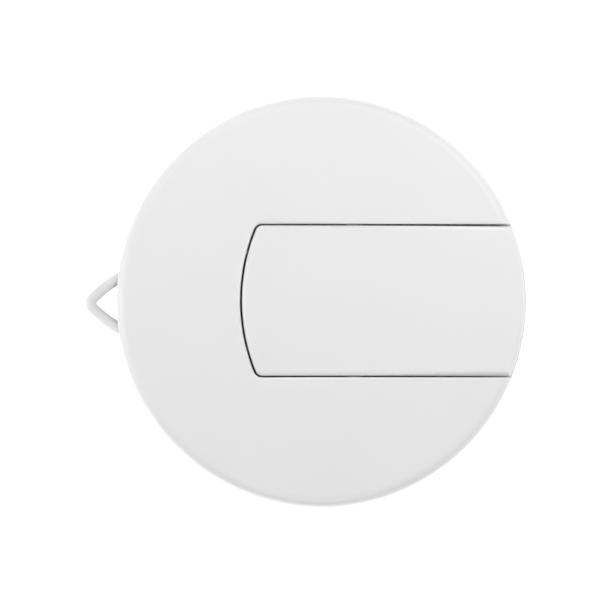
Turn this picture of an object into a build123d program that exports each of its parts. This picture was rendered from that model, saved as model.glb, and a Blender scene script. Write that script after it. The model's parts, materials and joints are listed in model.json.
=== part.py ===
"""Surface-mounted pull-cord switch: a round two-way switch worked by a tongue-shaped key or by a cord.

Millimetres. The origin is the centre of the back face, where the switch meets the wall.
+Z points out of the wall, -X is the way the cord pulls (down in use), +Y is across.
The object is drawn with the key tilted one way: its free end at the rim is pressed in.
"""

from build123d import *
import os
from math import asin, cos, degrees, radians, sin, sqrt, tan

# ---------------------------------------------------------------- case
cover_diameter = 80.0
total_height = 30.0          # wall to the crown of the face
face_crown = 1.4             # rise of the domed face, rim to centre
face_wall = 2.0
skirt_wall = 1.8
rim_round = 2.0              # round of the cover's front edge
base_inset = 0.4             # the base stands back from the cover all round
base_wall = 1.8
base_floor = 2.2
base_edge_round = 0.8
lip_height = 2.0             # lip of the base inside the cover
lip_wall = 1.4
lip_gap = 0.2
arm_notch_gap = 0.35         # round each arm of the stirrup where it leaves the case

# ---------------------------------------------------------------- key
key_width = 29.3
key_gap = 0.3                # visible gap between the key and the cover
key_back_x = -15.6           # apex of the key's arc-shaped closed end
key_arc_radius = 36.6        # radius of that end
key_corner = 1.3             # plan corners of the key's closed end
key_mouth_corner = 0.9       # plan corners of its free end
key_rim_gap = 0.3            # the key's free end stands back from the rim
key_proud = 0.3              # the key stands this much above the cover when level
key_depth = 5.9              # crown of the face down to the bottom of the key's walls
key_wall = 1.6
key_edge_round = 0.9
key_half_tilt = 2.2          # degrees each side of level
key_floor_gap = 2.2          # level key down to the floor of its pocket
well_wall = 1.8              # walls and floor of the pocket that the key lies in
well_floor = 1.6
well_edge_round = 0.35       # round of the cover's edges along the key
well_rib_width = 0.6         # two locating ribs on the pocket's arc-shaped end
well_rib_reach = 0.13
well_rib_angle = 15.0        # degrees off the centre line, round the arc's centre
well_rib_drop = 1.4          # top of a rib below the crown of the face
well_lip_height = 3.2        # lip that closes the view under the key's free end
well_lip_gap = 0.8           # that lip stands clear of the key's walls
well_lip_thickness = 1.2
pivot_x = 6.4
pivot_depth = 3.8            # key pivot below the crown
trunnion_radius = 1.75
trunnion_reach = 1.8         # out of the key's side, into the pocket's wall
lug_half_length = 1.75       # the key's lug that reaches down to the toggle
lug_half_width = 1.0
lug_foot = 0.5               # lug's foot below the crank's centre
lug_rib_half_length = 4.5
lug_rib_half_width = 0.6
lug_rib_lift = 0.6           # ribs start this far above the key's bottom
fork_height = 1.2            # fork's roof above the crank's centre
window_left = 5.0            # lug's window in the pocket's floor, either side of the pivot
window_right = 6.4
window_half_width = 4.5

# ---------------------------------------------------------------- toggle and contacts
axis_drop = 10.5             # key pivot down to toggle pivot
toggle_half_tilt = 8.0
toggle_half_width = 2.2
toggle_back = 2.2            # pivot to the toggle's flat back
toggle_bottom = 3.0          # pivot down to the underside, beside the barrel
toggle_shoulder = 0.8        # pivot up to where the back starts to lean in
toggle_crown = (-1.4, 1.8)   # ends of the flat top, from the pivot
cam_nose = 0.9               # flat above and below the cam's notches
lug_clearance = 0.25
toggle_shaft_radius = 1.4
crank_radius = 0.9
crank_head = 1.1
barrel_radius = 2.9
barrel_mouth = 6.3           # toggle pivot down to the barrel's mouth
barrel_roof = 1.75
plunger_reach = 7.65         # toggle pivot down to the plunger's tip
plunger_radius = 1.75
plunger_wall = 0.45
plunger_tip_radius = 1.1
plunger_top = 3.9            # toggle pivot down to the plunger's upper edge
plunger_floor = 0.6
plunger_spring_wire = 0.25
plunger_spring_turns = 5
bridge_half_tilt = 7.0
bridge_pivot_z = 6.85
bridge_arm = 9.0             # pivot to each contact
bridge_length = 21.0
bridge_width = 5.0
bridge_thickness = 0.9
bridge_corner = 1.2
bridge_ear_half_length = 1.3
bridge_ear_drop = 1.2
knife_radius = 0.35
knife_width = 3.8
tip_radius = 1.3
tip_height = 0.5
tip_round = 0.25
strip_width = 4.0
strip_thickness = 0.7
pillar_size = (6.0, 7.0)
pillar_edge_round = 0.4
pillar_top = 11.0
pillar_y = 15.5              # terminals lie this far either side of the centre line
wire_hole_radius = 1.6
wire_hole_z = 7.2
terminal_screw_radius = 1.6
terminal_screw_lift = 0.6    # head above the pillar, ready to clamp a wire
terminal_screw_length = 2.7
terminal_head = (2.2, 1.6)   # radius and height

# ---------------------------------------------------------------- pull stirrup and pawl
eye_apex_x = -45.15          # centre line of the cord eye at its tip
bar_diameter = 2.2
eye_bend_radius = 1.3
leg_angle = 46.0             # each leg's slope beside the tip, degrees from the centre line
arm_y = 7.8                  # centre line of each straight arm
pull_stroke = 5.0
pawl_length = 9.0
pawl_nose_radius = 0.6
pawl_half_width = 2.1
pawl_half_depth = 1.1        # beside its hub
pawl_hub_radius = 1.6
pin_radius = 0.8
pin_chamfer = 0.2
notch_x = 3.0                # valleys of the toggle's cam, from its pivot
notch_z = 2.6
notch_half_width = 1.6
notch_half_angle = 52.5
seat_gap = 0.3               # the pawl's nose stays this far out of the notch
stop_gap = 0.1               # stirrup to body at either end of the pull
ear_wall = 1.5
ear_gap = 0.3
cross_wall = 1.5
tab_thickness = 1.6
tab_half_height = 2.0
tab_reach = 4.3              # spring tabs stand this far out of the arms
spring_y = 11.2
spring_post_x = -26.0
spring_post_half_width = 1.95
spring_post_thickness = 2.0
spring_post_rise = 2.0       # top of the post above the spring's centre line
gusset_reach = 3.0           # rib that stiffens each post from behind
gusset_half_width = 0.7
gusset_drop = 2.0
spring_radius = 1.75
spring_wire = 0.45
spring_turns = 9
peg_radius = 1.05
peg_length = 2.0

# ---------------------------------------------------------------- body and fixings
plate_thickness = 1.5        # insulating plate under the live parts
body_corner = 1.5
body_top = 12.0
body_half_width = 20.4
chamber_half_length = 12.0
chamber_half_width = 3.6
boss_radius = 3.0
boss_top = 7.2
body_screw_radius = 1.1
body_screw_length = 5.8
body_screw_floor = 2.0       # plastic between a boss and the head of its screw
body_screw_seat_radius = 3.0
screw_head = (2.3, 1.6)      # radius and height
strip_clearance = 0.2        # above each strip
frame_floor = 0.9
bearing_inner_y = 4.9        # bearing walls, inner and outer faces
bearing_outer_y = 6.4
guide_outer_y = 12.4
retainer_thickness = 1.4
retainer_slot_half = 4.3
retainer_slot_back = 3.6     # slot over the toggle, from its pivot
frame_slot_back = 5.2
retainer_screw_y = 10.7
retainer_screw_inset = 2.6
retainer_screw_radius = 0.9
retainer_screw_depth = 4.0   # into the body
retainer_head = (1.6, 1.0)   # radius and height
cover_screw_x = (-11.0, 31.5)
cover_screw_radius = 1.1
cover_screw_length = 9.0
cover_post_radius = 3.0
wall_hole_spacing = 60.0
wall_slot = (7.0, 4.5)       # length and width of each wall-screw slot
wall_slot_recess = (12.0, 9.5)
wall_slot_rim = 1.2          # wall round each recess
wall_slot_rim_height = 1.6
cable_entry = (16.0, 12.0)
cable_entry_corner = 4.0
cable_entry_x = -24.0

# ---------------------------------------------------------------- gaps and shared proportions
fit_gap = 0.15               # between pieces that are pushed together
contact_gap = 0.05           # between pieces that are screwed tight
running_gap = 0.07           # radial, between a shaft and its hole
screw_hole_gap = 0.3         # radial, round a screw that passes through
free_gap = 0.3               # between pieces that move past each other
overlap = 0.4                # how far shapes that are joined run into each other
tap_spare = 0.5              # a screw's hole is deeper than the screw
over = 1.0                   # how far a cutting shape stands out of the piece it cuts
head_round_share = 0.45      # of a screw head's height
tip_chamfer_share = 0.4      # of a screw shank's radius
cross_length_share = 1.15    # cross slot in a screw's head, of the head's radius
cross_width_share = 0.26
cross_depth_share = 0.55     # of the head's height

# ---------------------------------------------------------------- derived places
cover_radius = cover_diameter / 2
face_radius = (cover_radius**2 + face_crown**2) / (2 * face_crown)
base_radius = cover_radius - base_inset
lip_radius = cover_radius - skirt_wall - lip_gap
key_radius = cover_radius - key_rim_gap
key_arc_x = key_back_x + key_arc_radius
key_bottom_z = total_height - key_depth
pivot_z = total_height - pivot_depth
toggle_z = pivot_z - axis_drop
toggle_ratio = toggle_half_tilt / key_half_tilt
crank_height = axis_drop / (1 + toggle_ratio)
bar_radius = bar_diameter / 2
parting_z = toggle_z - bar_radius - arm_notch_gap
well_floor_z = key_bottom_z - key_floor_gap
well_under_z = well_floor_z - well_floor
well_arc_radius = key_arc_radius + key_gap
well_rib_height = total_height - well_rib_drop - well_under_z
plate_z = base_floor + contact_gap
body_z = plate_z + plate_thickness + contact_gap
strip_z = body_z + contact_gap
strip_top = strip_z + strip_thickness
arm_outer = arm_y + bar_radius
frame_z = body_top + contact_gap
retainer_z = toggle_z + bar_radius + fit_gap
retainer_top = retainer_z + retainer_thickness
cam_x = notch_x + notch_half_width / tan(radians(notch_half_angle))
seated_nose_x = notch_x + pawl_nose_radius / sin(radians(notch_half_angle))
seated = radians(toggle_half_tilt)
nose_pulled_x = seated_nose_x * cos(seated) - notch_z * sin(seated) + seat_gap
nose_rise = seated_nose_x * sin(seated) + notch_z * cos(seated)
pawl_half_swing = degrees(asin(nose_rise / pawl_length))
pin_x = pivot_x + nose_pulled_x + pull_stroke + pawl_length * cos(radians(pawl_half_swing))
cross_x = pin_x + pawl_hub_radius + ear_gap
body_right = cross_x - pull_stroke - stop_gap
body_half_length = body_right - pivot_x
body_left = pivot_x - body_half_length
tab_x = body_left - stop_gap - tab_thickness
pillar_places = [
    (pivot_x - bridge_arm, pillar_y),
    (pivot_x + bridge_arm, pillar_y),
    (pivot_x, -pillar_y),
]
body_screw_places = [(x, -y) for x, y in pillar_places]
body_screw_seat = boss_top + body_screw_floor
retainer_screw_places = [
    (x, y)
    for x in (body_left + retainer_screw_inset, body_right - retainer_screw_inset)
    for y in (-retainer_screw_y, retainer_screw_y)
]
leg_radius = (arm_y - eye_bend_radius * cos(radians(leg_angle))) / (1 - cos(radians(leg_angle)))
leg_end_x = (
    eye_apex_x
    + eye_bend_radius * (1 - sin(radians(leg_angle)))
    + leg_radius * sin(radians(leg_angle))
)

UP = (Align.CENTER, Align.CENTER, Align.MIN)
DOWN = (Align.CENTER, Align.CENTER, Align.MAX)
SIDES = (-1, 1)
key_axis = Axis((pivot_x, 0, pivot_z), (0, 1, 0))
toggle_axis = Axis((pivot_x, 0, toggle_z), (0, 1, 0))
bridge_axis = Axis((pivot_x, 0, bridge_pivot_z), (0, 1, 0))
pawl_axis = Axis((pin_x, 0, toggle_z), (0, 1, 0))


# ---------------------------------------------------------------- shared shapes
def face_height(radius):
    """Height of the domed face at a distance from the centre."""
    return total_height - face_radius + sqrt(face_radius**2 - radius**2)


def crowned_puck(radius, bottom, offset):
    """A round block up to the domed face, which is moved by offset."""
    with BuildPart() as puck:
        with BuildSketch(Plane.XZ):
            with BuildLine():
                Line((0, bottom), (0, total_height + offset))
                ThreePointArc(
                    (0, total_height + offset),
                    (radius / 2, face_height(radius / 2) + offset),
                    (radius, face_height(radius) + offset),
                )
                Line((radius, face_height(radius) + offset), (radius, bottom))
                Line((radius, bottom), (0, bottom))
            make_face()
        revolve(axis=Axis.Z)
    return puck.part


def tongue(margin, right_x, corner):
    """The key's plan outline grown by margin: an arc at the closed end, square at right_x."""
    half = key_width / 2 + margin
    radius = key_arc_radius + margin
    corner_x = key_arc_x - sqrt(radius**2 - half**2)
    with BuildSketch() as outline:
        with BuildLine():
            Line((right_x, half), (corner_x, half))
            ThreePointArc((corner_x, half), (key_arc_x - radius, 0), (corner_x, -half))
            Line((corner_x, -half), (right_x, -half))
            Line((right_x, -half), (right_x, half))
        make_face()
        fillet(outline.vertices().sort_by(Axis.X)[:2], corner)
    return outline.sketch


def tongue_block(margin, right_x, corner, bottom, top):
    """A solid of the key's plan outline between two heights."""
    with BuildPart() as solid:
        with BuildSketch(Plane.XY.offset(bottom)):
            add(tongue(margin, right_x, corner))
        extrude(amount=top - bottom)
    return solid.part


def cross_rod(radius, x, z, y_from, y_to, mode=Mode.ADD):
    """A round rod lying across the object, along Y."""
    with Locations(Location((x, (y_from + y_to) / 2, z), (90, 0, 0))):
        Cylinder(radius, y_to - y_from, mode=mode)


def block(x_from, x_to, y_from, y_to, z_from, z_to, mode=Mode.ADD):
    """A square block between six faces."""
    with Locations(((x_from + x_to) / 2, (y_from + y_to) / 2, (z_from + z_to) / 2)):
        Box(x_to - x_from, y_to - y_from, z_to - z_from, mode=mode)


def save(part, name):
    """Label a piece and write it to its own file."""
    part.label = name
    export_step(part, f"parts/{name}.step")


def mirrored(side, near, far):
    """The two heights across the object, in rising order, on one side of the centre line."""
    return sorted((side * near, side * far))


def screws(name, places, seat_z, head, shank_radius, length):
    """Cross-slotted pan-head screws that point at the wall, heads resting on seat_z."""
    head_radius, head_height = head
    with BuildPart() as group:
        with Locations(*[(x, y, seat_z) for x, y in places]):
            Cylinder(head_radius, head_height, align=UP)
        head_edges = group.edges().filter_by(GeomType.CIRCLE).group_by(Axis.Z)[-1]
        fillet(head_edges, head_height * head_round_share)
        with Locations(*[(x, y, seat_z) for x, y in places]):
            Cylinder(shank_radius, length, align=DOWN)
        tip_edges = group.edges().filter_by(GeomType.CIRCLE).group_by(Axis.Z)[0]
        chamfer(tip_edges, shank_radius * tip_chamfer_share)
        for turn in (0, 90):
            with Locations(*[Location((x, y, seat_z + head_height), (0, 0, turn)) for x, y in places]):
                Box(
                    head_radius * cross_length_share, head_radius * cross_width_share,
                    2 * head_height * cross_depth_share, mode=Mode.SUBTRACT,
                )
    save(group.part, name)


def coil(start, direction, length, mean_radius, wire, turns):
    """A helical spring that runs from start along direction."""
    with BuildPart() as spring:
        with BuildLine() as path:
            Helix((length - wire) / turns, length - wire, mean_radius, center=start, direction=direction)
        with BuildSketch(Plane(origin=path.line @ 0, z_dir=path.line % 0)):
            Circle(wire / 2)
        sweep(is_frenet=True)
    return spring.part


def terminal(name, x, y, with_knife):
    """A wire pillar with a strip along the floor to the middle of the switch."""
    side = 1 if y > 0 else -1
    with BuildPart() as piece:
        with Locations((x, (y - side * strip_width / 2) / 2, strip_z)):
            Box(strip_width, abs(y) + strip_width / 2, strip_thickness, align=UP)
        with Locations((x, y, strip_z)):
            Box(pillar_size[0], pillar_size[1], pillar_top - strip_z, align=UP)
        fillet(piece.edges().filter_by(Axis.Z), pillar_edge_round)
        cross_rod(
            wire_hole_radius, x, wire_hole_z, y - pillar_size[1], y + pillar_size[1], Mode.SUBTRACT
        )
        with Locations((x, y, wire_hole_z)):
            Cylinder(terminal_screw_radius + contact_gap, pillar_top, align=UP, mode=Mode.SUBTRACT)
        if with_knife:
            half = knife_width / 2
            block(x - knife_radius, x + knife_radius, -half, half, strip_z, bridge_pivot_z)
            cross_rod(knife_radius, x, bridge_pivot_z, -half, half)
    save(piece.part, name)


os.makedirs("parts", exist_ok=True)

# ---------------------------------------------------------------- base
with BuildPart() as base_housing:
    Cylinder(base_radius, parting_z - contact_gap, align=UP)
    fillet(base_housing.edges().filter_by(GeomType.CIRCLE).sort_by(Axis.Z)[0], base_edge_round)
    with Locations((0, 0, base_floor)):
        Cylinder(base_radius - base_wall, parting_z, align=UP, mode=Mode.SUBTRACT)
    # lip inside the cover, open where the stirrup leaves
    with BuildSketch(Plane.XY.offset(base_floor)):
        Circle(lip_radius)
        Circle(lip_radius - lip_wall, mode=Mode.SUBTRACT)
    extrude(amount=parting_z + lip_height - base_floor)
    lip_half = arm_outer + 2 * arm_notch_gap
    block(
        -cover_radius, -lip_radius / 2, -lip_half, lip_half,
        parting_z - contact_gap, total_height, Mode.SUBTRACT,
    )
    # posts that carry the cover's screws
    with Locations(*[(x, 0, base_floor) for x in cover_screw_x]):
        Cylinder(cover_post_radius, well_under_z - contact_gap - base_floor, align=UP)
    with Locations(*[(x, 0, well_under_z) for x in cover_screw_x]):
        Cylinder(
            cover_screw_radius + contact_gap, cover_screw_length + tap_spare,
            align=DOWN, mode=Mode.SUBTRACT,
        )
    # bosses that carry the switch body's screws
    with Locations(*[(x, y, base_floor) for x, y in body_screw_places]):
        Cylinder(boss_radius, boss_top - base_floor, align=UP)
    with Locations(*[(x, y, boss_top) for x, y in body_screw_places]):
        Cylinder(body_screw_radius + contact_gap, boss_top - base_floor, align=DOWN, mode=Mode.SUBTRACT)
    # posts that the return springs push against, each with a peg inside the spring
    for side in SIDES:
        post_y = side * spring_y
        block(
            spring_post_x - spring_post_thickness, spring_post_x,
            post_y - spring_post_half_width, post_y + spring_post_half_width,
            base_floor, toggle_z + spring_post_rise,
        )
        block(
            spring_post_x - spring_post_thickness - gusset_reach,
            spring_post_x - spring_post_thickness / 2,
            post_y - gusset_half_width, post_y + gusset_half_width,
            base_floor, toggle_z - gusset_drop,
        )
        with Locations(Location((spring_post_x, post_y, toggle_z), (0, 90, 0))):
            Cylinder(peg_radius, peg_length, align=UP)
    # slots for the wall screws, recessed for their heads
    for side in SIDES:
        with BuildSketch(Plane.XY.offset(base_floor)):
            with Locations((0, side * wall_hole_spacing / 2)):
                SlotOverall(
                    wall_slot_recess[0] + 2 * wall_slot_rim, wall_slot_recess[1] + 2 * wall_slot_rim,
                    rotation=90,
                )
                SlotOverall(wall_slot_recess[0], wall_slot_recess[1], rotation=90, mode=Mode.SUBTRACT)
        extrude(amount=wall_slot_rim_height)
        with BuildSketch():
            with Locations((0, side * wall_hole_spacing / 2)):
                SlotOverall(wall_slot[0], wall_slot[1], rotation=90)
        extrude(amount=base_floor, mode=Mode.SUBTRACT)
    # cable entry from the wall
    with BuildSketch():
        with Locations((cable_entry_x, 0)):
            RectangleRounded(cable_entry[0], cable_entry[1], cable_entry_corner)
    extrude(amount=base_floor, mode=Mode.SUBTRACT)
    # nothing stands out past the case
    with BuildSketch(mode=Mode.PRIVATE) as limit:
        Circle(base_radius)
    extrude(limit.sketch, amount=total_height, mode=Mode.INTERSECT)
save(base_housing.part, "base_housing")

# ---------------------------------------------------------------- cover
well_block = tongue_block(
    key_gap + well_wall, cover_radius + over, key_corner + well_wall, well_under_z, total_height
)
well_puck = crowned_puck(cover_radius - skirt_wall / 2, well_under_z, -face_wall / 2)
slot_block = tongue_block(
    key_gap, cover_radius + over, key_corner + key_gap, well_floor_z, total_height + over
)

with BuildPart() as front_cover:
    add(crowned_puck(cover_radius, parting_z, 0))
    fillet(front_cover.edges().group_by(SortBy.LENGTH)[-1].sort_by(Axis.Z)[-1], rim_round)
    add(crowned_puck(cover_radius - skirt_wall, parting_z, -face_wall), mode=Mode.SUBTRACT)
    add(well_block & well_puck)
    add(slot_block, mode=Mode.SUBTRACT)
    slot_edges = [
        edge
        for edge in front_cover.edges()
        if edge.length < 2 * cover_diameter
        and abs(edge.center().Y) < key_width / 2 + key_gap + contact_gap
        and edge.center().Z > well_floor_z + over
        and (edge.center().X > cover_radius * 0.8 or edge.center().Z > total_height - face_crown)
    ]
    fillet(slot_edges, well_edge_round)
    # lip that closes the view under the key's free end
    with BuildSketch(Plane.XY.offset(well_under_z)):
        Circle(key_radius - key_wall - well_lip_gap)
        Circle(key_radius - key_wall - well_lip_gap - well_lip_thickness, mode=Mode.SUBTRACT)
        lip_width = key_width - 2 * key_wall - well_lip_gap
        with Locations((cover_radius, 0)):
            Rectangle(cover_radius, lip_width, mode=Mode.INTERSECT)
    extrude(amount=well_floor + well_lip_height)
    # locating ribs on the pocket's closed end
    for side in SIDES:
        with Locations(Location((key_arc_x, 0, well_under_z), (0, 0, 180 + side * well_rib_angle))):
            with Locations((well_arc_radius + (overlap - well_rib_reach) / 2, 0, 0)):
                Box(overlap + well_rib_reach, well_rib_width, well_rib_height, align=UP)
    # holes for the key's trunnions
    hole_end = key_width / 2 + key_gap + well_wall + overlap
    cross_rod(trunnion_radius + running_gap, pivot_x, pivot_z, -hole_end, hole_end, Mode.SUBTRACT)
    # window for the key's lug
    block(
        pivot_x - window_left, pivot_x + window_right, -window_half_width, window_half_width,
        well_under_z, well_floor_z, Mode.SUBTRACT,
    )
    # screw holes in the pocket's floor
    with Locations(*[(x, 0, well_under_z) for x in cover_screw_x]):
        Cylinder(cover_screw_radius + screw_hole_gap, well_floor, align=UP, mode=Mode.SUBTRACT)
    # notch where the stirrup leaves
    notch_half = arm_outer + arm_notch_gap
    notch_top = toggle_z + bar_radius + arm_notch_gap
    block(
        -cover_radius - over, -lip_radius / 2, -notch_half, notch_half,
        parting_z, notch_top, Mode.SUBTRACT,
    )
save(front_cover.part, "front_cover")

# ---------------------------------------------------------------- key
key_puck = crowned_puck(key_radius, key_bottom_z, key_proud)
hollow_puck = crowned_puck(key_radius - key_wall, key_bottom_z, key_proud - key_wall)
hollow_block = tongue_block(-key_wall, cover_radius, key_corner, key_bottom_z, total_height)

with BuildPart() as rocker_key:
    add(tongue_block(0, cover_radius + over, key_corner, key_bottom_z, total_height + over) & key_puck)
    fillet(rocker_key.edges().filter_by(Axis.Z).group_by(Axis.X)[-1], key_mouth_corner)
    fillet(rocker_key.faces().sort_by(Axis.Z)[-1].edges(), key_edge_round)
    add(hollow_block & hollow_puck, mode=Mode.SUBTRACT)
    # trunnions in the cover
    trunnion_end = key_width / 2 + trunnion_reach
    for side in SIDES:
        y_pair = mirrored(side, key_width / 2 - key_wall - overlap, trunnion_end)
        cross_rod(trunnion_radius, pivot_x, pivot_z, y_pair[0], y_pair[1])
    # lug with a fork that straddles the toggle's crank, stiffened by ribs under the face
    lug_top = total_height + key_proud - key_wall + overlap
    pin_z = toggle_z + crank_height
    block(
        pivot_x - lug_half_length, pivot_x + lug_half_length, -lug_half_width, lug_half_width,
        pin_z - lug_foot, lug_top,
    )
    fork_half = crank_radius + running_gap
    block(
        pivot_x - fork_half, pivot_x + fork_half, -lug_half_width - over, lug_half_width + over,
        pin_z - lug_foot - over, pin_z + fork_height, Mode.SUBTRACT,
    )
    rib_bottom = key_bottom_z + lug_rib_lift
    rib_end = window_half_width - lug_rib_half_width
    block(
        pivot_x - lug_rib_half_length, pivot_x + lug_rib_half_length,
        -lug_rib_half_width, lug_rib_half_width, rib_bottom, lug_top,
    )
    block(
        pivot_x - lug_rib_half_width, pivot_x + lug_rib_half_width,
        -rib_end, rib_end, rib_bottom, lug_top,
    )
save(rocker_key.part.rotate(key_axis, key_half_tilt), "rocker_key")

screws(
    "cover_screws", [(x, 0) for x in cover_screw_x], well_floor_z + contact_gap,
    screw_head, cover_screw_radius, cover_screw_length,
)

# ---------------------------------------------------------------- live parts
terminal("common_terminal", pillar_places[2][0], pillar_places[2][1], True)
terminal("terminal_one", pillar_places[0][0], pillar_places[0][1], False)
terminal("terminal_two", pillar_places[1][0], pillar_places[1][1], False)
screws(
    "terminal_screws", pillar_places, pillar_top + terminal_screw_lift,
    terminal_head, terminal_screw_radius, terminal_screw_length,
)

with BuildPart() as fixed_contacts:
    with Locations(*[(pivot_x + side * bridge_arm, 0, strip_top) for side in SIDES]):
        Cylinder(tip_radius, tip_height, align=UP)
    fillet(fixed_contacts.edges().filter_by(GeomType.CIRCLE).group_by(Axis.Z)[-1], tip_round)
save(fixed_contacts.part, "fixed_contacts")

with BuildPart() as contact_bridge:
    with Locations((pivot_x, 0, bridge_pivot_z)):
        Box(bridge_length, bridge_width, bridge_thickness, align=UP)
    fillet(contact_bridge.edges().filter_by(Axis.Z), bridge_corner)
    # turned-down ears that keep the bridge on the knife edge
    ear_inner = knife_width / 2 + running_gap
    for side in SIDES:
        y_pair = mirrored(side, ear_inner, bridge_width / 2)
        block(
            pivot_x - bridge_ear_half_length, pivot_x + bridge_ear_half_length, y_pair[0], y_pair[1],
            bridge_pivot_z - bridge_ear_drop, bridge_pivot_z,
        )
    cross_rod(
        knife_radius + running_gap, pivot_x, bridge_pivot_z, -ear_inner, ear_inner, Mode.SUBTRACT
    )
save(contact_bridge.part.rotate(bridge_axis, bridge_half_tilt), "contact_bridge")

with BuildPart() as moving_contacts:
    with Locations(*[(pivot_x + side * bridge_arm, 0, bridge_pivot_z) for side in SIDES]):
        Cylinder(tip_radius, tip_height, align=DOWN)
    fillet(moving_contacts.edges().filter_by(GeomType.CIRCLE).group_by(Axis.Z)[0], tip_round)
save(moving_contacts.part.rotate(bridge_axis, bridge_half_tilt), "moving_contacts")

# ---------------------------------------------------------------- switch body
with BuildPart() as insulating_plate:
    with Locations((pivot_x, 0, plate_z)):
        Box(2 * body_half_length, 2 * body_half_width, plate_thickness, align=UP)
    fillet(insulating_plate.edges().filter_by(Axis.Z), body_corner)
    with Locations(*[(x, y, plate_z) for x, y in body_screw_places]):
        Cylinder(boss_radius + fit_gap, plate_thickness, align=UP, mode=Mode.SUBTRACT)
save(insulating_plate.part, "insulating_plate")

with BuildPart() as switch_body:
    with Locations((pivot_x, 0, body_z)):
        Box(2 * body_half_length, 2 * body_half_width, body_top - body_z, align=UP)
    fillet(switch_body.edges().filter_by(Axis.Z), body_corner)
    with Locations((pivot_x, 0, body_z)):
        Box(2 * chamber_half_length, 2 * chamber_half_width, body_top, align=UP, mode=Mode.SUBTRACT)
    # pockets for the terminals and their strips, screw holes above, wire holes at the sides
    for x, y in pillar_places:
        strip_clear = strip_width + 2 * fit_gap
        with Locations((x, y / 2, body_z)):
            Box(strip_clear, abs(y), strip_thickness + strip_clearance, align=UP, mode=Mode.SUBTRACT)
        with Locations((x, y, body_z)):
            Box(
                pillar_size[0] + 2 * fit_gap, pillar_size[1] + 2 * fit_gap,
                pillar_top + contact_gap - body_z, align=UP, mode=Mode.SUBTRACT,
            )
            Cylinder(terminal_head[0] + screw_hole_gap, body_top, align=UP, mode=Mode.SUBTRACT)
        y_pair = sorted((y, 2 * y))
        cross_rod(
            wire_hole_radius + screw_hole_gap, x, wire_hole_z, y_pair[0], y_pair[1], Mode.SUBTRACT
        )
    # pockets over the base's bosses, and seats for the body's screws
    with Locations(*[(x, y, body_z) for x, y in body_screw_places]):
        Cylinder(boss_radius + fit_gap, boss_top + contact_gap - body_z, align=UP, mode=Mode.SUBTRACT)
        Cylinder(body_screw_radius + screw_hole_gap, body_top, align=UP, mode=Mode.SUBTRACT)
    with Locations(*[(x, y, body_screw_seat) for x, y in body_screw_places]):
        Cylinder(body_screw_seat_radius, body_top, align=UP, mode=Mode.SUBTRACT)
    # holes for the retainer's screws
    with Locations(*[(x, y, body_top) for x, y in retainer_screw_places]):
        Cylinder(
            retainer_screw_radius + contact_gap, retainer_screw_depth + tap_spare,
            align=DOWN, mode=Mode.SUBTRACT,
        )
save(switch_body.part, "switch_body")

screws(
    "body_screws", body_screw_places, body_screw_seat + contact_gap,
    screw_head, body_screw_radius, body_screw_length,
)

# ---------------------------------------------------------------- bearing frame and retainer
channel_z = toggle_z - bar_radius - fit_gap

with BuildPart() as bearing_frame:
    with Locations((pivot_x, 0, frame_z)):
        Box(2 * body_half_length, 2 * guide_outer_y, retainer_z - contact_gap - frame_z, align=UP)
    fillet(bearing_frame.edges().filter_by(Axis.Z), body_corner)
    block(
        body_left - over, body_right + over, -bearing_inner_y, bearing_inner_y,
        frame_z + frame_floor, total_height, Mode.SUBTRACT,
    )
    block(
        pivot_x - frame_slot_back, body_right + over, -chamber_half_width, chamber_half_width,
        body_z, total_height, Mode.SUBTRACT,
    )
    for side in SIDES:
        y_pair = mirrored(side, bearing_outer_y, arm_outer + free_gap)
        block(
            body_left - over, body_right + over, y_pair[0], y_pair[1],
            channel_z, total_height, Mode.SUBTRACT,
        )
    bearing_radius = toggle_shaft_radius + running_gap
    cross_rod(bearing_radius, pivot_x, toggle_z, -bearing_outer_y, bearing_outer_y, Mode.SUBTRACT)
    block(
        pivot_x - bearing_radius, pivot_x + bearing_radius, -bearing_outer_y, bearing_outer_y,
        toggle_z, total_height, Mode.SUBTRACT,
    )
    with Locations(*[(x, y, frame_z) for x, y in retainer_screw_places]):
        Cylinder(retainer_screw_radius + screw_hole_gap, total_height, align=UP, mode=Mode.SUBTRACT)
save(bearing_frame.part, "bearing_frame")

with BuildPart() as retainer_plate:
    with Locations((pivot_x, 0, retainer_z)):
        Box(2 * body_half_length, 2 * guide_outer_y, retainer_thickness, align=UP)
    fillet(retainer_plate.edges().filter_by(Axis.Z), body_corner)
    block(
        pivot_x - retainer_slot_back, body_right + over, -retainer_slot_half, retainer_slot_half,
        retainer_z, retainer_top, Mode.SUBTRACT,
    )
    cross_rod(bearing_radius, pivot_x, toggle_z, -bearing_outer_y, bearing_outer_y, Mode.SUBTRACT)
    with Locations(*[(x, y, retainer_z) for x, y in retainer_screw_places]):
        Cylinder(
            retainer_screw_radius + screw_hole_gap, retainer_thickness, align=UP, mode=Mode.SUBTRACT
        )
save(retainer_plate.part, "retainer_plate")

screws(
    "retainer_screws", retainer_screw_places, retainer_top + contact_gap,
    retainer_head, retainer_screw_radius, retainer_top - body_top + retainer_screw_depth,
)

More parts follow.
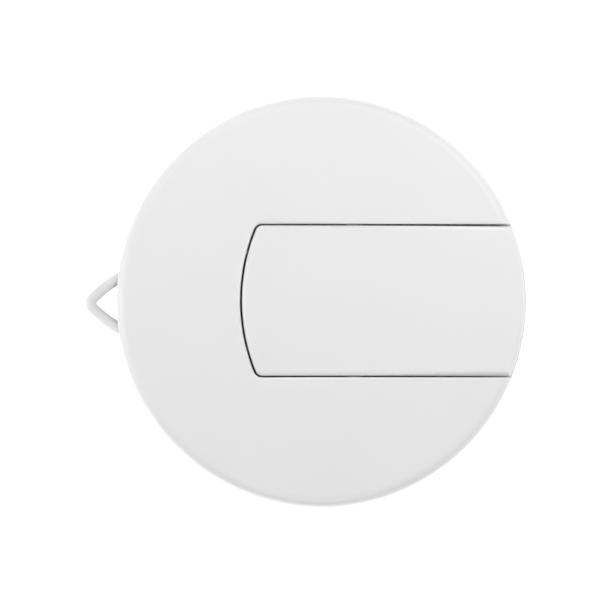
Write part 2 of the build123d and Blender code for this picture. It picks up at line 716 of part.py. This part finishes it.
# ---------------------------------------------------------------- toggle
with BuildPart() as toggle:
    with BuildSketch(Plane.XZ.offset(-toggle_half_width)):
        with BuildLine():
            Polyline(
                (pivot_x - toggle_back, toggle_z - toggle_bottom),
                (pivot_x - toggle_back, toggle_z + toggle_shoulder),
                (pivot_x + toggle_crown[0], toggle_z + crank_height + crank_head),
                (pivot_x + toggle_crown[1], toggle_z + crank_height + crank_head),
                (pivot_x + cam_x - cam_nose, toggle_z + notch_z + notch_half_width),
                (pivot_x + cam_x, toggle_z + notch_z + notch_half_width),
                (pivot_x + notch_x, toggle_z + notch_z),
                (pivot_x + cam_x, toggle_z + notch_z - notch_half_width),
                (pivot_x + cam_x, toggle_z - notch_z + notch_half_width),
                (pivot_x + notch_x, toggle_z - notch_z),
                (pivot_x + cam_x, toggle_z - notch_z - notch_half_width),
                (pivot_x + cam_x - cam_nose, toggle_z - notch_z - notch_half_width),
                (pivot_x, toggle_z - toggle_bottom),
                (pivot_x - toggle_back, toggle_z - toggle_bottom),
            )
        make_face()
    extrude(amount=2 * toggle_half_width)
    with Locations((pivot_x, 0, toggle_z - barrel_mouth)):
        Cylinder(barrel_radius, barrel_mouth - over, align=UP)
    # gap for the key's lug, leaving the crank pin and the hub across it
    block(
        pivot_x - toggle_back - over, pivot_x + notch_x - overlap,
        -lug_half_width - lug_clearance, lug_half_width + lug_clearance,
        toggle_z, total_height, Mode.SUBTRACT,
    )
    crank_end = toggle_half_width - free_gap
    cross_rod(crank_radius, pivot_x, toggle_z + crank_height, -crank_end, crank_end)
    shaft_end = bearing_outer_y - fit_gap
    cross_rod(toggle_shaft_radius, pivot_x, toggle_z, -shaft_end, shaft_end)
    with Locations((pivot_x, 0, toggle_z - barrel_mouth)):
        Cylinder(plunger_radius + running_gap, barrel_mouth - barrel_roof, align=UP, mode=Mode.SUBTRACT)
save(toggle.part.rotate(toggle_axis, -toggle_half_tilt), "toggle")

with BuildPart() as plunger:
    shoulder = plunger_reach - plunger_tip_radius
    with Locations((pivot_x, 0, toggle_z - shoulder)):
        Cylinder(plunger_radius, shoulder - plunger_top, align=UP)
        Sphere(plunger_tip_radius)
    cup_floor = shoulder - plunger_floor
    with Locations((pivot_x, 0, toggle_z - cup_floor)):
        Cylinder(plunger_radius - plunger_wall, cup_floor, align=UP, mode=Mode.SUBTRACT)
save(plunger.part.rotate(toggle_axis, -toggle_half_tilt), "plunger")

plunger_coil = coil(
    (pivot_x, 0, toggle_z - cup_floor + plunger_spring_wire / 2), (0, 0, 1),
    cup_floor - barrel_roof, plunger_radius - plunger_wall - contact_gap - plunger_spring_wire / 2,
    plunger_spring_wire, plunger_spring_turns,
)
save(plunger_coil.rotate(toggle_axis, -toggle_half_tilt), "plunger_spring")

# ---------------------------------------------------------------- pull stirrup
with BuildPart() as pull_stirrup:
    with BuildLine(Plane.XY.offset(toggle_z)) as bar_path:
        near_arm = Line((cross_x + cross_wall / 2, arm_y), (leg_end_x, arm_y))
        near_leg = JernArc(near_arm @ 1, near_arm % 1, leg_radius, leg_angle)
        eye_bend = JernArc(near_leg @ 1, near_leg % 1, eye_bend_radius, 180 - 2 * leg_angle)
        far_leg = JernArc(eye_bend @ 1, eye_bend % 1, leg_radius, leg_angle)
        Line(far_leg @ 1, (cross_x + cross_wall / 2, -arm_y))
    with BuildSketch(Plane(origin=bar_path.line @ 0, z_dir=bar_path.line % 0)):
        Circle(bar_radius)
    sweep()
    # cross-piece with two ears that hold the pawl's pin
    block(
        cross_x, cross_x + cross_wall, -arm_outer, arm_outer,
        toggle_z - pawl_hub_radius, toggle_z + pawl_hub_radius,
    )
    ear_inner_y = pawl_half_width + ear_gap
    for side in SIDES:
        y_pair = mirrored(side, ear_inner_y, ear_inner_y + ear_wall)
        block(
            pin_x, cross_x + overlap, y_pair[0], y_pair[1],
            toggle_z - pawl_hub_radius, toggle_z + pawl_hub_radius,
        )
        cross_rod(pawl_hub_radius, pin_x, toggle_z, y_pair[0], y_pair[1])
    pin_end = ear_inner_y + ear_wall
    cross_rod(pin_radius + contact_gap / 2, pin_x, toggle_z, -pin_end, pin_end, Mode.SUBTRACT)
    # tabs that the return springs push against, each with a peg inside the spring
    for side in SIDES:
        y_pair = mirrored(side, arm_y, arm_outer + tab_reach)
        block(
            tab_x, tab_x + tab_thickness, y_pair[0], y_pair[1],
            toggle_z - tab_half_height, toggle_z + tab_half_height,
        )
        with Locations(Location((tab_x, side * spring_y, toggle_z), (0, -90, 0))):
            Cylinder(peg_radius, peg_length, align=UP)
save(pull_stirrup.part, "pull_stirrup")

with BuildPart() as pawl:
    with BuildSketch(Plane.XZ.offset(-pawl_half_width)):
        with Locations((pin_x, toggle_z)):
            Circle(pawl_hub_radius)
        with Locations((pin_x - pawl_length, toggle_z)):
            Circle(pawl_nose_radius)
        with BuildLine():
            Polyline(
                (pin_x, toggle_z - pawl_half_depth),
                (pin_x, toggle_z + pawl_half_depth),
                (pin_x - pawl_length, toggle_z + pawl_nose_radius),
                (pin_x - pawl_length, toggle_z - pawl_nose_radius),
                (pin_x, toggle_z - pawl_half_depth),
            )
        make_face()
    extrude(amount=2 * pawl_half_width)
    cross_rod(
        pin_radius + running_gap, pin_x, toggle_z, -pawl_half_width, pawl_half_width, Mode.SUBTRACT
    )
save(pawl.part.rotate(pawl_axis, pawl_half_swing), "pawl")

with BuildPart() as pawl_pin:
    cross_rod(pin_radius, pin_x, toggle_z, -pin_end, pin_end)
    chamfer(pawl_pin.edges().filter_by(GeomType.CIRCLE), pin_chamfer)
save(pawl_pin.part, "pawl_pin")

spring_length = tab_x - spring_post_x - 2 * contact_gap
for side, name in ((1, "return_spring_left"), (-1, "return_spring_right")):
    start = (spring_post_x + contact_gap + spring_wire / 2, side * spring_y, toggle_z)
    spring_coil = coil(
        start, (1, 0, 0), spring_length, spring_radius - spring_wire / 2, spring_wire, spring_turns
    )
    save(spring_coil, name)
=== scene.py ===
"""Scene for the pull cord switch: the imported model, dressed and lit as a catalogue picture."""

import json
import math

import bmesh
import bpy
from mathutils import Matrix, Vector


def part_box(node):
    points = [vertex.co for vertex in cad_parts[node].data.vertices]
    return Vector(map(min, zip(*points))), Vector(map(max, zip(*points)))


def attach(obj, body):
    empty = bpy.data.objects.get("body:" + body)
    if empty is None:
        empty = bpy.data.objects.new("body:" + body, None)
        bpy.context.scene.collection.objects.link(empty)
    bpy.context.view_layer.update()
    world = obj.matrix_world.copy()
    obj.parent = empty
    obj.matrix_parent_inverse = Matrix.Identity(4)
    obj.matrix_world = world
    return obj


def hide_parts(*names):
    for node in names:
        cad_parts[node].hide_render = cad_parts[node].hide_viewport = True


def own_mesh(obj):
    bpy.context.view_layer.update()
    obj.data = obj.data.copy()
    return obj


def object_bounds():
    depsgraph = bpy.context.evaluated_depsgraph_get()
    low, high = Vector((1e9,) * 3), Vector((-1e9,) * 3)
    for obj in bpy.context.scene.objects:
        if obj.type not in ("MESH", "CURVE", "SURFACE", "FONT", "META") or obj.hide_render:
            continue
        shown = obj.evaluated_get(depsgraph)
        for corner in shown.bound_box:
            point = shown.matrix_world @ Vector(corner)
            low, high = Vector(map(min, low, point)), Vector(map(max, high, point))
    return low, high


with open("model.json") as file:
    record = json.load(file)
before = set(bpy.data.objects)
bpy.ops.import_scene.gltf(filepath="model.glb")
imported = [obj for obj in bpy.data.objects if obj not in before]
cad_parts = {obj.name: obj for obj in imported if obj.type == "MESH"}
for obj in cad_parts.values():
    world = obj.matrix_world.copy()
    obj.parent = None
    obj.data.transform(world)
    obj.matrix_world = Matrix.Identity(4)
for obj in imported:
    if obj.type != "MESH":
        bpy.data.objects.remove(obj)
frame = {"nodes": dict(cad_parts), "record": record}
cad_low, cad_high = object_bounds()
nodes = frame["nodes"]

MM = 0.001

# The picture looks down on the face from far away, leaning a little towards the lower edge.
cover_low, cover_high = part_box("front_cover")
rim_z = cover_high.z - 3.4 * MM                  # widest part of the cover that shows
case_width = cover_high.x - cover_low.x
view_width = case_width * 1.4634                 # what the frame takes in at the rim
view_shift = (-4.21 * MM, 0.22 * MM)             # middle of the frame from the case's axis
camera_distance = 3000 * MM
camera_lean = math.radians(2.0)
sensor = 36.0


# ---------------------------------------------------------------- node helpers
def new_material(name):
    """An empty material with its output and one Principled shader joined."""
    material = bpy.data.materials.new(name)
    material.use_nodes = True
    tree = material.node_tree
    tree.nodes.clear()
    output = tree.nodes.new("ShaderNodeOutputMaterial")
    shader = tree.nodes.new("ShaderNodeBsdfPrincipled")
    tree.links.new(shader.outputs["BSDF"], output.inputs["Surface"])
    return material, tree, shader


def noise(tree, scale, detail=4.0, roughness=0.5, stretch=None):
    """A noise texture in object space, scale in waves per metre."""
    coordinates = tree.nodes.new("ShaderNodeTexCoord")
    texture = tree.nodes.new("ShaderNodeTexNoise")
    texture.inputs["Scale"].default_value = scale
    texture.inputs["Detail"].default_value = detail
    texture.inputs["Roughness"].default_value = roughness
    source = coordinates.outputs["Object"]
    if stretch:
        mapping = tree.nodes.new("ShaderNodeMapping")
        mapping.inputs["Scale"].default_value = stretch
        tree.links.new(source, mapping.inputs["Vector"])
        source = mapping.outputs["Vector"]
    tree.links.new(source, texture.inputs["Vector"])
    return texture.outputs["Fac"]


def ramp(tree, value, low, high, out_low, out_high):
    """Maps value from low..high to out_low..out_high."""
    node = tree.nodes.new("ShaderNodeMapRange")
    node.inputs["From Min"].default_value = low
    node.inputs["From Max"].default_value = high
    node.inputs["To Min"].default_value = out_low
    node.inputs["To Max"].default_value = out_high
    tree.links.new(value, node.inputs["Value"])
    return node.outputs["Result"]


def blend_colours(tree, value, first, second):
    """A colour between first and second as value goes from 0 to 1."""
    node = tree.nodes.new("ShaderNodeMix")
    node.data_type = "RGBA"
    node.inputs["A"].default_value = (*first, 1)
    node.inputs["B"].default_value = (*second, 1)
    tree.links.new(value, node.inputs["Factor"])
    return node.outputs["Result"]


def bump(tree, shader, height, strength, depth):
    """Joins a height to the shader's normal, depth in metres."""
    node = tree.nodes.new("ShaderNodeBump")
    node.inputs["Strength"].default_value = strength
    node.inputs["Distance"].default_value = depth
    tree.links.new(height, node.inputs["Height"])
    tree.links.new(node.outputs["Normal"], shader.inputs["Normal"])


# ---------------------------------------------------------------- materials
def moulded_plastic(name, colour, shade=0.985, roughness=0.42, grain=2600, texture_depth=0.012):
    """Injection-moulded plastic: faint drifts of tone and a fine spark-eroded texture."""
    material, tree, shader = new_material(name)
    drift = noise(tree, 60, detail=3)
    darker = tuple(c * shade for c in colour)
    tree.links.new(blend_colours(tree, ramp(tree, drift, 0.3, 0.7, 0, 1), colour, darker),
                   shader.inputs["Base Color"])
    fine = noise(tree, grain, detail=2, roughness=0.6)
    tree.links.new(ramp(tree, fine, 0.3, 0.7, roughness - 0.04, roughness + 0.06),
                   shader.inputs["Roughness"])
    bump(tree, shader, fine, 0.35, texture_depth * MM)
    shader.inputs["IOR"].default_value = 1.49
    shader.inputs["Specular IOR Level"].default_value = 0.5
    return material


def worked_metal(name, colour, roughness=0.28, stretch=(1, 1, 1), grain=900):
    """Bare or plated metal with fine rolling or turning marks."""
    material, tree, shader = new_material(name)
    shader.inputs["Metallic"].default_value = 1.0
    marks = noise(tree, grain, detail=5, roughness=0.65, stretch=stretch)
    tarnish = noise(tree, 180, detail=3)
    darker = tuple(c * 0.82 for c in colour)
    tree.links.new(blend_colours(tree, ramp(tree, tarnish, 0.35, 0.7, 0, 1), colour, darker),
                   shader.inputs["Base Color"])
    tree.links.new(ramp(tree, marks, 0.3, 0.7, roughness - 0.08, roughness + 0.12),
                   shader.inputs["Roughness"])
    bump(tree, shader, marks, 0.25, 0.006 * MM)
    return material


white = (0.86, 0.862, 0.858)
materials = {
    "white_cover": moulded_plastic("white_cover", white),
    "white_key": moulded_plastic("white_key", white),
    "white_base": moulded_plastic("white_base", white),
    "white_stirrup": moulded_plastic("white_stirrup", (0.84, 0.843, 0.84), roughness=0.36),
    "zinc_steel": worked_metal("zinc_steel", (0.62, 0.63, 0.65)),
    "bright_steel": worked_metal("bright_steel", (0.66, 0.66, 0.67), roughness=0.2),
    "spring_steel": worked_metal("spring_steel", (0.5, 0.5, 0.52), roughness=0.3),
    "grey_fibre": moulded_plastic("grey_fibre", (0.28, 0.29, 0.3), shade=0.85, roughness=0.7),
    "moulded_black": moulded_plastic("moulded_black", (0.045, 0.045, 0.05), shade=0.9),
    "moulded_grey": moulded_plastic("moulded_grey", (0.35, 0.36, 0.37), shade=0.94),
    "natural_nylon": moulded_plastic("natural_nylon", (0.78, 0.75, 0.66), shade=0.95),
    "brass": worked_metal("brass", (0.72, 0.55, 0.26)),
    "silver_alloy": worked_metal("silver_alloy", (0.78, 0.77, 0.74)),
    "tinned_copper": worked_metal("tinned_copper", (0.66, 0.52, 0.38), stretch=(1, 8, 1)),
}

slot_of_node = {entry["node"]: entry["material_slot"] for entry in frame["record"]["subparts"]}
for name, node in nodes.items():
    node.data.materials.clear()
    node.data.materials.append(materials[slot_of_node[name]])


# ---------------------------------------------------------------- springs
def coil_spring(name, fixed_end, free_end, mean_radius, wire_radius, turns, steps=36, sides=10):
    """A compression spring of round wire with one closed turn at each end."""
    along = free_end - fixed_end
    length = along.length
    along.normalize()
    across = along.orthogonal().normalized()
    beside = along.cross(across)
    open_turns = turns - 2
    closed = 2 * wire_radius
    open_pitch = (length - 2 * wire_radius - 2 * closed) / open_turns
    mesh = bmesh.new()
    rings = []
    for step in range(turns * steps + 1):
        turned = step / steps
        rise = min(turned, 1) * closed + max(turned - turns + 1, 0) * closed
        rise += min(max(turned - 1, 0), open_turns) * open_pitch
        out = across * math.cos(math.tau * turned) + beside * math.sin(math.tau * turned)
        middle = fixed_end + along * (wire_radius + rise) + out * mean_radius
        rings.append([
            mesh.verts.new(
                middle
                + out * wire_radius * math.cos(math.tau * side / sides)
                + along * wire_radius * math.sin(math.tau * side / sides)
            )
            for side in range(sides)
        ])
    for ring, following in zip(rings, rings[1:]):
        for side in range(sides):
            neighbour = (side + 1) % sides
            mesh.faces.new((ring[side], ring[neighbour], following[neighbour], following[side]))
    mesh.faces.new(rings[0])
    mesh.faces.new(reversed(rings[-1]))
    bmesh.ops.recalc_face_normals(mesh, faces=mesh.faces)
    data = bpy.data.meshes.new(name)
    mesh.to_mesh(data)
    mesh.free()
    for face in data.polygons:
        face.use_smooth = len(face.vertices) == 4
    data.materials.append(materials["spring_steel"])
    spring = bpy.data.objects.new(name, data)
    bpy.context.scene.collection.objects.link(spring)
    return spring


def joint_entry(name):
    """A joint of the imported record."""
    return next(entry for entry in frame["record"]["behaviour"]["joints"] if entry["name"] == name)


# Two return springs, which the stirrup's tabs squeeze against the posts when the cord is pulled.
return_wire = 0.225 * MM                         # radius of the wire
return_turns = 9
for side in ("left", "right"):
    node = "return_spring_" + side
    low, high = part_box(node)
    middle = (low + high) / 2
    fixed_end = Vector((low.x, middle.y, middle.z))
    free_end = Vector((high.x, middle.y, middle.z))
    spring = coil_spring(
        "spring_" + side, fixed_end, free_end, (high.y - low.y) / 2 - return_wire, return_wire, return_turns
    )
    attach(spring, "housing")
    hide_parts(node)
    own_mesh(spring)

# The plunger's spring, held by the toggle and squeezed when the plunger is pushed in.
plunger_joint = joint_entry("plunger_slide")
plunger_axis = Vector(plunger_joint["axis"]).normalized()
plunger_wire = 0.125 * MM
plunger_turns = 6
low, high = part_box("plunger_spring")
coil_diameter = high.y - low.y
lean = abs(plunger_axis.x)
coil_length = (high.z - low.z - coil_diameter * lean) / plunger_axis.z
middle = (low + high) / 2
fixed_end = middle + plunger_axis * coil_length / 2
free_end = middle - plunger_axis * coil_length / 2
spring = coil_spring(
    "spring_in_toggle", fixed_end, free_end, coil_diameter / 2 - plunger_wire, plunger_wire,
    plunger_turns,
)
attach(spring, "toggle")
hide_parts("plunger_spring")
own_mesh(spring)


# ---------------------------------------------------------------- stage
def floor(size=2.0, glow=0.55, glow_inner=70 * MM, glow_outer=320 * MM):
    """A plain pale floor with a soft glow of its own that fades out away from the switch."""
    bpy.ops.mesh.primitive_plane_add(size=size, location=(view_shift[0], view_shift[1], cad_low.z))
    plane = bpy.context.object
    plane.name = "floor"
    material, tree, shader = new_material("floor")
    shader.inputs["Base Color"].default_value = (0.9, 0.9, 0.9, 1)
    shader.inputs["Roughness"].default_value = 0.9
    shader.inputs["Emission Color"].default_value = (1, 1, 1, 1)
    coordinates = tree.nodes.new("ShaderNodeTexCoord")
    mapping = tree.nodes.new("ShaderNodeMapping")
    mapping.inputs["Scale"].default_value = (1 / size, 1 / size, 1 / size)
    middle = tree.nodes.new("ShaderNodeTexGradient")
    middle.gradient_type = "SPHERICAL"           # one in the middle, less by radius / size
    tree.links.new(coordinates.outputs["Object"], mapping.inputs["Vector"])
    tree.links.new(mapping.outputs["Vector"], middle.inputs["Vector"])
    fade = ramp(tree, middle.outputs["Fac"], 1 - glow_outer / size, 1 - glow_inner / size, 0, glow)
    tree.links.new(fade, shader.inputs["Emission Strength"])
    plane.data.materials.append(material)


def softbox(name, place, size, power):
    """A square area light at place that faces the middle of the switch."""
    data = bpy.data.lights.new(name, "AREA")
    data.shape = "SQUARE"
    data.size = size
    data.energy = power
    light = bpy.data.objects.new(name, data)
    bpy.context.scene.collection.objects.link(light)
    light.location = place
    aim = light.location.copy()
    aim.x, aim.y, aim.z = (t - p for t, p in zip(switch_middle, place))
    light.rotation_euler = aim.to_track_quat("-Z", "Y").to_euler()
    return light


def light_place(around, height, distance):
    """A place seen from the middle of the switch at two angles in degrees and a distance."""
    turn, rise = math.radians(around), math.radians(height)
    return (
        distance * math.cos(rise) * math.cos(turn),
        distance * math.cos(rise) * math.sin(turn),
        switch_middle[2] + distance * math.sin(rise),
    )


switch_middle = (0, 0, 30 * MM)
high_rise, middle_rise, rim_rise = 50, 28, 12    # degrees above the switch
high_distance, low_distance = 450 * MM, 500 * MM
high_box, low_box = 250 * MM, 200 * MM           # sides of the square lights

floor()
softbox("high_right_light", light_place(30, high_rise, high_distance), high_box, 0.716)
softbox("upper_right_light", light_place(60, high_rise, high_distance), high_box, 0.456)
softbox("upper_left_light", light_place(120, high_rise, high_distance), high_box, 0.693)
softbox("left_light", light_place(180, middle_rise, low_distance), low_box, 0.449)
softbox("lower_light", light_place(270, middle_rise, low_distance), low_box, 0.608)
softbox("left_rim_light", light_place(180, rim_rise, low_distance), low_box, 0.652)
softbox("right_rim_light", light_place(0, rim_rise, low_distance), low_box, 0.513)
softbox("lower_rim_light", light_place(270, rim_rise, low_distance), low_box, 0.325)

world = bpy.data.worlds.new("studio")
world.use_nodes = True
world.node_tree.nodes["Background"].inputs["Color"].default_value = (1, 1, 1, 1)
world.node_tree.nodes["Background"].inputs["Strength"].default_value = 0.0
bpy.context.scene.world = world
bpy.context.scene.view_settings.view_transform = "Standard"

camera_data = bpy.data.cameras.new("camera")
camera_data.sensor_width = sensor
camera_data.lens = sensor * camera_distance / view_width
camera_data.clip_start = 0.01
camera_data.clip_end = 10
camera = bpy.data.objects.new("camera", camera_data)
bpy.context.scene.collection.objects.link(camera)
camera.location = (
    view_shift[0],
    view_shift[1] - camera_distance * math.sin(camera_lean),
    rim_z + camera_distance * math.cos(camera_lean),
)
camera.rotation_euler = (camera_lean, 0, 0)
bpy.context.scene.camera = camera
